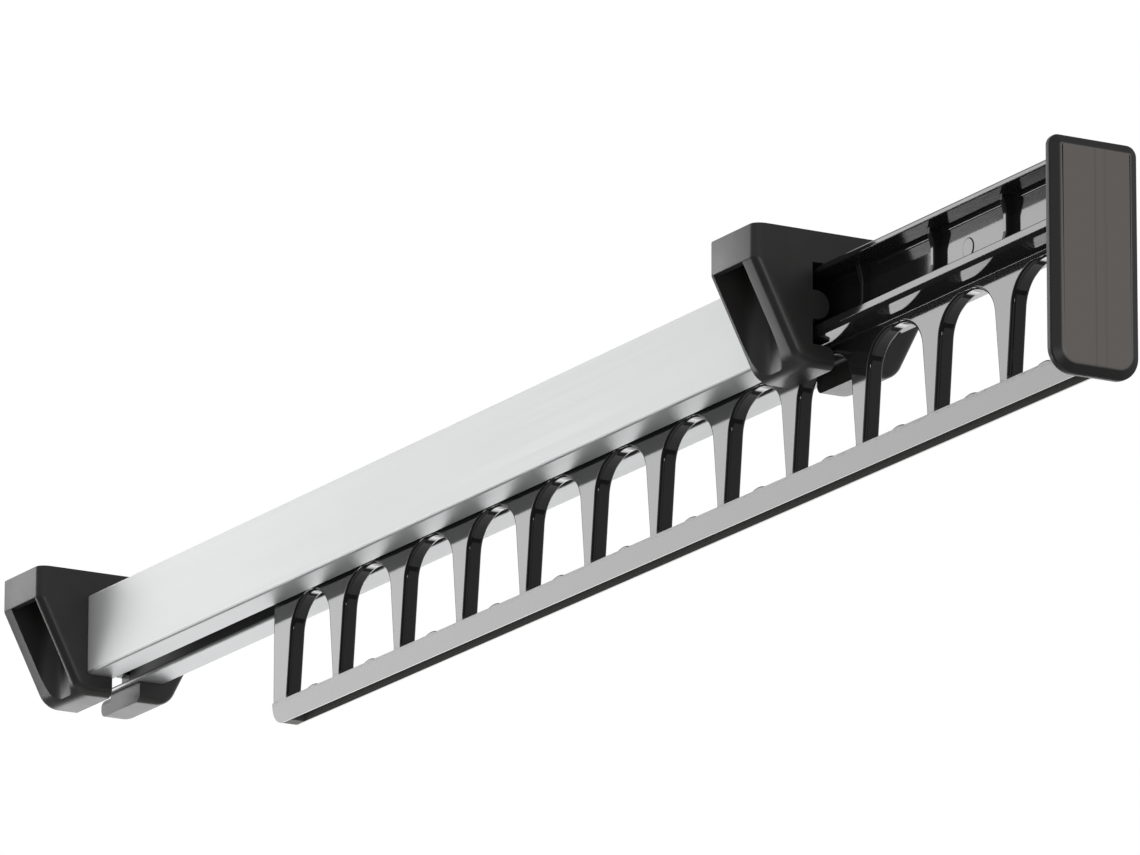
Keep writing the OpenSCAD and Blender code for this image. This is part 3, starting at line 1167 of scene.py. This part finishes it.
@dataclass
class ArchSlide(Part):
    """The moulded slide: beam, blade with arches, bar, bumps, tail and foot. Millimetres."""

    arches: int = 12
    pitch: float = 32.0
    arch_width: float = 27.6
    end_arch_width: float = 23.5
    arch_height: float = 25.3
    taper: float = 1.9
    arch_rise: float = 9.0
    shoulder: float = 8.0
    rear_post: float = 8.1
    blade: float = 4.2
    soft: float = 1.0
    # How far an arch's side spreads below its foot, and down to which depth
    arch_foot: Pair = (0.35, 3.0)
    # How far the blade reaches into the bar and the beam, unseen
    sunk: Pair = (3.0, 1.5)
    bar: float = 5.0
    bar_soft: float = 0.23
    bar_end_corner: float = 5.5
    bar_short: float = 0.8
    tuck: float = 1.2
    bar_rim: float = 0.02
    # Width, depth, distance from the slide's front end and from the bar's rear end
    groove: Quad = (4.0, 2.2, 2.5, 9.0)
    groove_corner: float = 0.8
    # Length, width and height of a bump
    bump: Triple = (9.0, 2.6, 1.2)
    bump_foot: float = -1.5
    # A bump's arc is drawn longer by this factor, so that its ends lie in the bar
    bump_spread: float = 1.15
    flange_half: float = 8.6
    web_half: float = 1.3
    # Top and underside of the top flange, top of the middle flange, its underside outside and inside
    levels: tuple[float, ...] = (-7.9, -9.9, -22.5, -25.2, -25.9)
    top_step: float = 0.5
    # Width and height of the middle flange's chamfer
    keel: Pair = (0.9, 0.85)
    stub: float = -27.3
    # Roundings of the beam's section from the blade up to the top face
    beam_radii: tuple[float, ...] = (0.1, 0.5, 0.3, 0.2, 0.3, 1.2, 1.0, 0.3, 0.5)
    # Depth, thickness and distance in front of the post's middle
    rib: Triple = (2.9, 1.6, 2.9)
    rib_hollow: float = 0.9
    # Height of a rib's straight ends, and half the height of its hollow
    rib_ends: Pair = (1.2, 2.2)
    rib_radii: tuple[float, ...] = (0.1, 1.0, 3.0, 3.0, 1.0, 0.1)
    rib_sunk: float = 0.5
    stop_rib: int = 2
    tail_length: float = 22.0
    # Roundings of the tail's lower rear, upper rear and upper front corner
    tail_corners: Triple = (2.0, 4.0, 0.5)
    # Radius, half width and bore
    hub: Triple = (4.0, 3.1, 1.58)
    # Distance from the rear end, and level
    axle: Pair = (11.45, -17.0)
    # Radius, half width and distance behind the middle of the last arch but one
    boss: Triple = (2.5, 1.5, 0.2)
    # Half width, lower end, upper end and thickness
    foot: Quad = (7.6, -57.9, -33.4, 2.4)
    foot_corners: Pair = (3.0, 1.0)
    # Roundings of edges: of flanges and round parts, of ribs and bumps, and of cut ends
    rim: float = 0.3
    rib_rim: float = 0.35
    cut_rim: float = 0.05
    small_corner: float = 0.1
    # How far hidden ends reach into their neighbours
    overlap: float = 1.0
    # Small distances that keep two faces from lying in one plane
    clear: float = 0.02
    set_back: float = 0.2

    def __post_init__(self) -> None:
        """Reads the slide's two ends from its node, and starts its skin."""
        low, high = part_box("arch_slide")
        self.front, self.rear, self.bottom = low.y / MM, high.y / MM, low.z / MM
        self.skin = Surface()

    def _arch(self, width: float) -> Outline:
        """An arch as a hole, with its foot at 0.

        Its sides lean in by the taper up to the shoulders. Two shoulder circles
        and one flatter crown circle, which touches both, close it at the top.

        Args:
            width: Width at the foot.

        Returns:
            The loop, in millimetres.
        """
        foot, top = width / 2, width / 2 - self.taper
        level = self.arch_height - self.arch_rise
        aside, drop = top - self.shoulder, self.arch_rise - self.shoulder
        crown = (aside**2 + drop**2) / (2 * drop) + self.shoulder
        meet = math.atan2(level - (self.arch_height - crown), aside)
        start = math.atan2(self.taper, level)
        a = np.linspace(start, meet, 16)
        b = np.linspace(meet, math.pi - meet, 14)[1:-1]
        right = np.stack([aside + self.shoulder * np.cos(a), level + self.shoulder * np.sin(a)], axis=1)
        over = np.stack([crown * np.cos(b), self.arch_height - crown + crown * np.sin(b)], axis=1)
        side = np.linspace(0, 1, 6)[:-1, None]
        spread, deep = self.arch_foot
        below = np.array([[foot + spread, -deep]]) * (1 - side) + right[:1] * side
        half = np.concatenate([below, right])
        loop = np.concatenate([half, over, half[::-1] * [-1, 1]])
        return Outline.through(loop).reversed()

    def _middles(self) -> tuple[np.ndarray, np.ndarray]:
        """Middles of the arches along the rail, and their widths.

        Returns:
            The middles and the widths, from the rear to the front.
        """
        i = np.arange(self.arches)
        widths = np.where(i == 0, self.end_arch_width, self.arch_width)
        first = self.rear - self.rear_post - self.end_arch_width / 2
        second = self.rear - self.rear_post - self.end_arch_width - (self.pitch - self.arch_width)
        middles = np.where(i == 0, first, second - self.arch_width / 2 - (i - 1) * self.pitch)
        return middles, widths

    def _post(self, number: float) -> float:
        """Middle of a post between two arches, counted from the rear. A half lies between two posts."""
        first = self.rear - self.rear_post - self.end_arch_width - (self.pitch - self.arch_width) / 2
        return first - number * self.pitch

    def _add_blade(self) -> None:
        """Adds the upright sheet: blade with its arches, and the tail that carries the rollers."""
        top, start = self.levels[0], self.rear - self.tail_length - self.overlap
        inside, under = BAR_TOP - self.sunk[0], self.levels[4] + self.sunk[1]
        step = self.rear - self.bar_end_corner - self.overlap
        front, tucked, small = self.front + self.set_back, BAR_TOP - self.tuck, self.small_corner
        outer = Outline.rounded(
            [(front, inside), (step, inside), (step, tucked), (self.rear, tucked),
             (self.rear, top), (start, top), (start, under), (front, under)],
            [small, small, small, *self.tail_corners, small, small],
        )
        middles, widths = self._middles()
        holes = [
            self._arch(float(w)).moved(float(m), BAR_TOP).scaled(MM) for m, w in zip(middles, widths)
        ]
        edge = Rim.quarter(self.soft)
        half = self.blade / 2 * MM
        self.skin.carried(Plane.YZ, outer.scaled(MM), -half, half, edge, edge, holes)

    def _bar(self) -> bpy.types.Object:
        """The bar that hangers rest on, hollowed from below as thick mouldings are.

        Returns:
            The bar.
        """
        front, rear, half = self.front + self.set_back, self.rear - self.bar_short, self.bar / 2 * MM
        small = self.small_corner
        outer = millimetres(
            rectangle(front, rear, self.bottom, BAR_TOP), [small, self.bar_end_corner, small, small], 12
        )
        width, depth, start, stop = self.groove
        below, above = self.bottom - depth, self.bottom + depth
        hollow = millimetres(rectangle(self.front + start, rear - stop, below, above), self.groove_corner)
        bar = solid(Plane.YZ, outer, -half, half, "bar_skin", self.bar_rim)
        wide = width / 2 * MM
        cut(bar, [solid(Plane.YZ, hollow, -wide, wide, "groove_tool", self.bar_rim)])
        soften(bar, self.bar_soft)
        return bar

    def _add_bumps(self) -> None:
        """Adds the bump on the bar in each arch."""
        length, width, height = self.bump
        radius = (length**2 / 4 + height**2) / (2 * height)
        reach = math.asin(length / 2 / radius)
        spread = reach * self.bump_spread
        a = np.linspace(math.pi / 2 - spread, math.pi / 2 + spread, 21)
        cap = np.stack([radius * np.cos(a), height - radius + radius * np.sin(a)], axis=1)
        low = np.stack([cap[::-1, 0], np.full(len(cap), self.bump_foot)], axis=1)
        loop = Outline.through(np.concatenate([cap, low]))
        soft = Rim.quarter(self.rib_rim)
        for middle in self._middles()[0]:
            self.skin.carried(
                Plane.YZ, loop.moved(float(middle), BAR_TOP).scaled(MM),
                -width / 2 * MM, width / 2 * MM, soft, soft,
            )

    def _add_beam(self) -> None:
        """Adds the beam: top flange, web and middle flange, with a fillet in each inner corner."""
        top, under, over, edge, low = self.levels
        flange, web, blade = self.flange_half, self.web_half, self.blade / 2 - self.clear
        wide, tall = self.keel
        right = [
            (blade, self.stub), (blade, low), (flange - wide, edge), (flange, edge + tall),
            (flange, over), (web, over), (web, under), (flange, under), (flange, top - self.top_step),
        ]
        section = millimetres(right + mirrored(right), self.beam_radii + self.beam_radii[::-1])
        rear, front = self.rear - self.tail_length, self.front + self.clear
        self.skin.carried(
            Plane.XZ, section, -rear * MM, -front * MM, Rim.quarter(self.rim), Rim.quarter(self.cut_rim, 2)
        )

    def _add_ribs(self) -> None:
        """Adds a rib over each post, between the flanges, and the deeper one that stops the slide."""
        depth, thick, shift = self.rib
        edge, small = Rim.quarter(self.rib_rim), self.small_corner
        low, high = self.levels[2] - self.rib_sunk, self.levels[1] + self.rib_sunk
        reach, middle = self.web_half + depth, (low + high) / 2
        hollow, (end, tall) = reach - self.rib_hollow, self.rib_ends
        curved = [
            (reach, low), (reach, low + end), (hollow, middle - tall),
            (hollow, middle + tall), (reach, high - end), (reach, high),
        ]
        stopping = self.flange_half - self.clear
        for i in range(self.arches - 1):
            y = self._post(i) - shift
            side, radii = curved, self.rib_radii
            if i == self.stop_rib:
                side, radii = [(stopping, low), (stopping, high)], (small, small)
            plan = millimetres(side + mirrored(side), radii + radii[::-1], 8)
            self.skin.carried(Plane.XZ, plan, -(y + thick / 2) * MM, -(y - thick / 2) * MM, edge, edge)

    def _add_round_parts(self) -> None:
        """Adds the hub for the axle, and the round boss near the front of the web."""
        radius, half, bore = self.hub
        aside, level = self.axle
        place = ((self.rear - aside) * MM, level * MM)
        edge = Rim.quarter(self.rim)
        self.skin.carried(
            Plane.YZ, Outline.circle(radius * MM, place), -half * MM, half * MM, edge, edge,
            [Outline.circle(bore * MM, place).reversed()],
        )
        radius, half, back = self.boss
        place = ((self._post(self.arches - 2.5) + back) * MM, level * MM)
        self.skin.carried(Plane.YZ, Outline.circle(radius * MM, place), -half * MM, half * MM, edge, edge)

    def _add_foot(self) -> None:
        """Adds the foot behind the front plate."""
        half, low, high, thick = self.foot
        lower, upper = self.foot_corners
        plan = millimetres(rectangle(-half, half, low, high), [lower, lower, upper, upper])
        self.skin.carried(
            Plane.XZ, plan, -(self.front + thick) * MM, -(self.front + self.clear) * MM,
            Rim.quarter(self.rim), Rim.quarter(self.cut_rim, 1),
        )

    def build(self) -> None:
        """Builds and dresses the slide."""
        self._add_blade()
        self._add_bumps()
        self._add_beam()
        self._add_ribs()
        self._add_round_parts()
        self._add_foot()
        for piece in (self.skin.build("slide_skin"), self._bar()):
            dress(piece, self.finishes.gloss, "slide", "slide", "arch_slide")


@dataclass
class FrontPlate(Part):
    """The front plate: a rounded slab with a bevelled rim. Millimetres."""

    low_corner: float = 6.0
    top_corner: float = 2.6
    bevel: Pair = (2.7, 1.45)
    soft: float = 0.6
    back_edge: float = 1.5

    def build(self) -> None:
        """Builds and dresses the plate."""
        low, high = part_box("front_plate")
        half, bottom, top = high.x / MM, low.z / MM, high.z / MM
        below, above = self.low_corner, self.top_corner
        plan = millimetres(rectangle(-half, half, bottom, top), [below, below, above, above], 12)
        surface = Surface()
        surface.carried(
            Plane.XZ, plan, -high.y, -low.y, Rim.quarter(self.back_edge, 6),
            Rim.bevelled(*self.bevel, self.soft, 6),
        )
        dress(surface.build("plate_skin"), self.finishes.plate, "slide", "plate", "front_plate")


@dataclass
class PlateScrews(Part):
    """Two pan-head screws with cross slots, behind the front plate. Millimetres."""

    gap: float = 10.0
    shank: float = 1.45
    shank_end: float = 0.4
    # Radius and height
    head: Pair = (2.5, 1.8)
    head_dome: float = 0.9
    # Half length, half width and depth of a slot
    slot: Triple = (1.5, 0.3, 0.9)
    slot_corner: float = 0.1
    rim: float = 0.1
    overlap: float = 0.3
    soft: float = 0.06

    def build(self) -> None:
        """Builds and dresses both screws as one piece."""
        low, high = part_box("plate_screws")
        level = (low.z + high.z) / 2
        top = -high.y
        radius, tall = self.head
        start = top + (tall - self.overlap) * MM
        rim = Rim.quarter(self.rim, 2)
        surface, tools = Surface(), []
        for x in (-self.gap / 2 * MM, self.gap / 2 * MM):
            head = Outline.circle(radius * MM, (x, level))
            shank = Outline.circle(self.shank * MM, (x, level))
            surface.carried(Plane.XZ, head, top, top + tall * MM, Rim.quarter(self.head_dome, 6), rim)
            surface.carried(Plane.XZ, shank, start, -low.y, rim, Rim.quarter(self.shank_end))
            tools += self._cross(x, level, top)
        screws = surface.build("plate_screw_set", smooth=False)
        cut(screws, tools)
        soften(screws, self.soft, 2)
        dress(screws, self.finishes.zinc, "slide", "fixing", "plate_screws")

    def _cross(self, x: float, level: float, top: float) -> list[bpy.types.Object]:
        """The two tools that cut a cross slot into a head.

        Args:
            x: The screw's place across.
            level: Its height.
            top: Where the head's top lies along the screw.

        Returns:
            The tools.
        """
        long, thin, deep = (v * MM for v in self.slot)
        tools = []
        for a, b in ((long, thin), (thin, long)):
            plan = Outline.rounded(rectangle(x - a, x + a, level - b, level + b), self.slot_corner * MM)
            tools.append(solid(Plane.XZ, plan, top - MM, top + deep, "slot_tool"))
        return tools


def side_centre(low: Vector, high: Vector) -> Pair:
    """The middle of a box along Y and Z."""
    return (low.y + high.y) / 2, (low.z + high.z) / 2


@dataclass
class RollerSet(Part):
    """Two rollers on a headed axle with its clip, inside the channel. Millimetres."""

    tread_edge: float = 0.6
    rim: float = 2.2
    recess: float = 1.0
    bore: float = 1.55
    hub: float = 3.75
    # Rounding of the web and the hub, how far the web reaches into the tread, and its set-back
    inner_rim: float = 0.2
    web_overlap: float = 0.4
    web_back: float = 0.05
    axle: float = 1.5
    axle_start: float = 0.05
    axle_end: float = 0.25
    axle_overlap: float = 0.2
    # Radius and height
    head: Pair = (2.8, 0.9)
    head_dome: float = 0.5
    small_rim: float = 0.1
    clip_bore: float = 1.58

    def _roller(self, node: str, piece: str, body: str) -> None:
        """Builds and dresses one roller: tread ring, web and hub round one bore.

        Args:
            node: The CAD node that it stands for.
            piece: The piece's name.
            body: The body it turns with.
        """
        low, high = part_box(node)
        centre = side_centre(low, high)
        radius = (high.y - low.y) / 2
        near, far = (self.recess * MM, 0.0) if low.x < 0 else (0.0, self.recess * MM)
        back = self.web_back * MM
        hole = Outline.circle(self.bore * MM, centre).reversed()
        inner = Outline.circle(radius - self.rim * MM, centre).reversed()
        web = Outline.circle(radius - (self.rim - self.web_overlap) * MM, centre)
        hub = Outline.circle(self.hub * MM, centre)
        tread, soft = Rim.quarter(self.tread_edge), Rim.quarter(self.inner_rim)
        surface = Surface()
        surface.carried(Plane.YZ, Outline.circle(radius, centre), low.x, high.x, tread, tread, [inner])
        surface.carried(Plane.YZ, web, low.x + near + back, high.x - far - back, soft, soft, [hole])
        surface.carried(Plane.YZ, hub, low.x, high.x, soft, soft, [hole])
        dress(surface.build(piece), self.finishes.roller, body, "roller", node)

    def _axle(self) -> None:
        """Builds and dresses the axle with its domed head."""
        low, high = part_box("roller_axle")
        centre = side_centre(low, high)
        radius, tall = self.head
        start = low.x + (tall - self.axle_overlap) * MM
        head, pin = Outline.circle(radius * MM, centre), Outline.circle(self.axle * MM, centre)
        dome, rim = Rim.quarter(self.head_dome, 5), Rim.quarter(self.small_rim, 2)
        surface = Surface()
        surface.carried(Plane.YZ, head, low.x, low.x + tall * MM, dome, rim)
        surface.carried(
            Plane.YZ, pin, start, high.x, Rim.quarter(self.axle_start, 1), Rim.quarter(self.axle_end)
        )
        dress(surface.build("axle_pin"), self.finishes.zinc, "slide", "fixing", "roller_axle")

    def _clip(self) -> None:
        """Builds and dresses the clip, a ring on the axle's far end."""
        low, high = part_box("axle_clip")
        centre = side_centre(low, high)
        ring = Outline.circle((high.y - low.y) / 2, centre)
        hole = Outline.circle(self.clip_bore * MM, centre).reversed()
        rim = Rim.quarter(self.small_rim, 2)
        surface = Surface()
        surface.carried(Plane.YZ, ring, low.x, high.x, rim, rim, [hole])
        dress(surface.build("axle_ring"), self.finishes.zinc, "slide", "fixing", "axle_clip")

    def build(self) -> None:
        """Builds the rollers, the axle and the clip."""
        self._roller("left_roller", "left_roller_skin", "left_wheel")
        self._roller("right_roller", "right_roller_skin", "right_wheel")
        self._axle()
        self._clip()


# Camera and studio


@dataclass(frozen=True)
class Viewpoint:
    """The photograph's camera. It looks up at the rail from the front left. Metres and degrees."""

    place: Triple = (-1.34530, -2.43775, -0.76113)
    heading: float = 29.519
    climb: float = 15.282
    roll: float = 0.1235
    focal_pixels: float = 11606.2
    frame_pixels: float = 1140.0
    sensor_mm: float = 36.0

    def build(self) -> None:
        """Makes the camera and sets it as the scene's."""
        heading, climb, roll = (math.radians(a) for a in (self.heading, self.climb, self.roll))
        forward = Vector(
            (math.sin(heading) * math.cos(climb), math.cos(heading) * math.cos(climb), math.sin(climb))
        )
        level = forward.cross(Vector((0, 0, 1))).normalized()
        upright = level.cross(forward)
        right = level * math.cos(roll) + upright * math.sin(roll)
        up = upright * math.cos(roll) - level * math.sin(roll)
        data = bpy.data.cameras.new("viewpoint")
        data.sensor_width = self.sensor_mm
        data.lens = self.sensor_mm * self.focal_pixels / self.frame_pixels
        data.clip_start, data.clip_end = 0.05, 50.0
        camera = bpy.data.objects.new("viewpoint", data)
        camera.matrix_world = Matrix(
            [[right[k], up[k], -forward[k], self.place[k]] for k in range(3)] + [[0, 0, 0, 1]]
        )
        bpy.context.scene.collection.objects.link(camera)
        bpy.context.scene.camera = camera
        LOG.info("camera at %s, lens %.1f mm", self.place, data.lens)


@dataclass(frozen=True)
class Softbox:
    """A rectangular lamp that faces a point. A brightness of 1 is white to what looks into it. Metres."""

    name: str
    toward: Triple
    distance: float
    size: Pair
    brightness: float
    aim: Triple = (0.0, -0.05, -0.03)

    def build(self) -> None:
        """Makes the lamp."""
        data = bpy.data.lights.new(self.name, "AREA")
        data.shape = "RECTANGLE"
        data.size, data.size_y = self.size
        data.energy = self.brightness * math.pi * self.size[0] * self.size[1]
        away = Vector(self.toward).normalized()
        lamp = bpy.data.objects.new(self.name, data)
        lamp.location = Vector(self.aim) + away * self.distance
        lamp.rotation_mode = "QUATERNION"
        lamp.rotation_quaternion = away.to_track_quat("Z", "Y")
        bpy.context.scene.collection.objects.link(lamp)


@dataclass
class Studio:
    """Floor, backdrop light and softboxes. Metres.

    The backdrop is white above its edge and nearly dark below it. The edge is a
    height of the direction looked in, tilted by the slant and softened by the
    blur. Across the turn, from the camera's side to behind the rail, the
    backdrop rises from the brightness before to full.
    """

    floor_level: float = -6.0
    floor_size: float = 12.0
    floor_colour: Colour = (0.82, 0.82, 0.81)
    floor_shade: float = 0.97
    floor_roughness: float = 0.8
    floor_cloud: Grain = Grain((1.5, 1.5, 1.5))
    fill: float = 0.6
    edge: float = -0.22
    slant: float = 0.42
    blur: float = 0.02
    below: float = 0.05
    before: float = 0.36
    turn: Pair = (0.1, 0.65)
    lamps: tuple[Softbox, ...] = (
        Softbox("left_box", (-0.475, 0.839, 0.262), 1.4, (0.54, 0.26), 3.8),
        Softbox("low_left_box", (-0.50, 0.839, -0.255), 1.4, (0.54, 0.15), 8.0),
        Softbox("low_back_box", (0.45, 0.85, -0.31), 1.4, (0.64, 0.42), 1.7),
        Softbox("front_box", (-0.32, -0.94, -0.14), 1.4, (0.30, 0.16), 9.0),
    )

    def _world(self) -> None:
        """White to the camera, a soft fill for the rest, and a white backdrop to reflections.

        Reflections see the backdrop as it stands in a studio: white behind the
        rail, lower down on its right than on its left, and dimmer on the
        camera's side.
        """
        world = bpy.data.worlds.new("studio_air")
        bpy.context.scene.world = world
        air = Nodes(world)
        x, y, z = air.axes("Generated")
        above = (z + x * self.slant).step(self.edge - self.blur, self.edge + self.blur)
        backdrop = above.between(self.below, 1.0) * y.step(*self.turn).between(self.before, 1.0)
        camera, glossy, through = (
            air.node("ShaderNodeLightPath", output=f"Is {kind} Ray")
            for kind in ("Camera", "Glossy", "Transmission")
        )
        strength = camera.most(through).most(glossy * backdrop + (1 - glossy) * self.fill)
        values = {"Color": (1.0, 1.0, 1.0, 1.0), "Strength": strength}
        air.end("ShaderNodeOutputWorld", air.node("ShaderNodeBackground", values=values))

    def _floor(self) -> None:
        """A plain pale floor far below the rail."""
        half = self.floor_size / 2
        square = np.array([[-half, -half], [half, -half], [half, half], [-half, half]])
        mesh = bpy.data.meshes.new("floor")
        mesh.from_pydata(
            Plane.XY.place(square, np.full(4, self.floor_level)).tolist(), [], [(0, 1, 2, 3)]
        )
        floor = bpy.data.objects.new("floor", mesh)
        bpy.context.scene.collection.objects.link(floor)
        look = Shader("pale_floor")
        darker = tuple(c * self.floor_shade for c in self.floor_colour)
        colour = look.tint(look.noise(self.floor_cloud), darker, self.floor_colour)
        mesh.materials.append(look.finish(base_color=colour, roughness=self.floor_roughness))

    def build(self) -> None:
        """Builds the studio and sets how colours are shown."""
        self._world()
        self._floor()
        for lamp in self.lamps:
            lamp.build()
        bpy.context.scene.view_settings.view_transform = "Standard"
        LOG.info("studio: floor at %.2f m, %d lamps", self.floor_level, len(self.lamps))


def corners(box: tuple[Vector, Vector]) -> list[list[float]]:
    """A box as plain lists."""
    return [list(box[0]), list(box[1])]


def main() -> None:
    """Builds the scene in order."""
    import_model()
    finishes = Finishes.make()
    Channel(finishes).build()
    Bracket(finishes).build("rear_bracket_skin", "rear_bracket", True)
    Bracket(finishes).build("front_bracket_skin", "front_bracket", False)
    ArchSlide(finishes).build()
    FrontPlate(finishes).build()
    PlateScrews(finishes).build()
    RollerSet(finishes).build()
    Viewpoint().build()
    Studio().build()


if __name__ == "__main__":
    logging.basicConfig(level=logging.INFO, format="%(name)s: %(message)s")
    main()
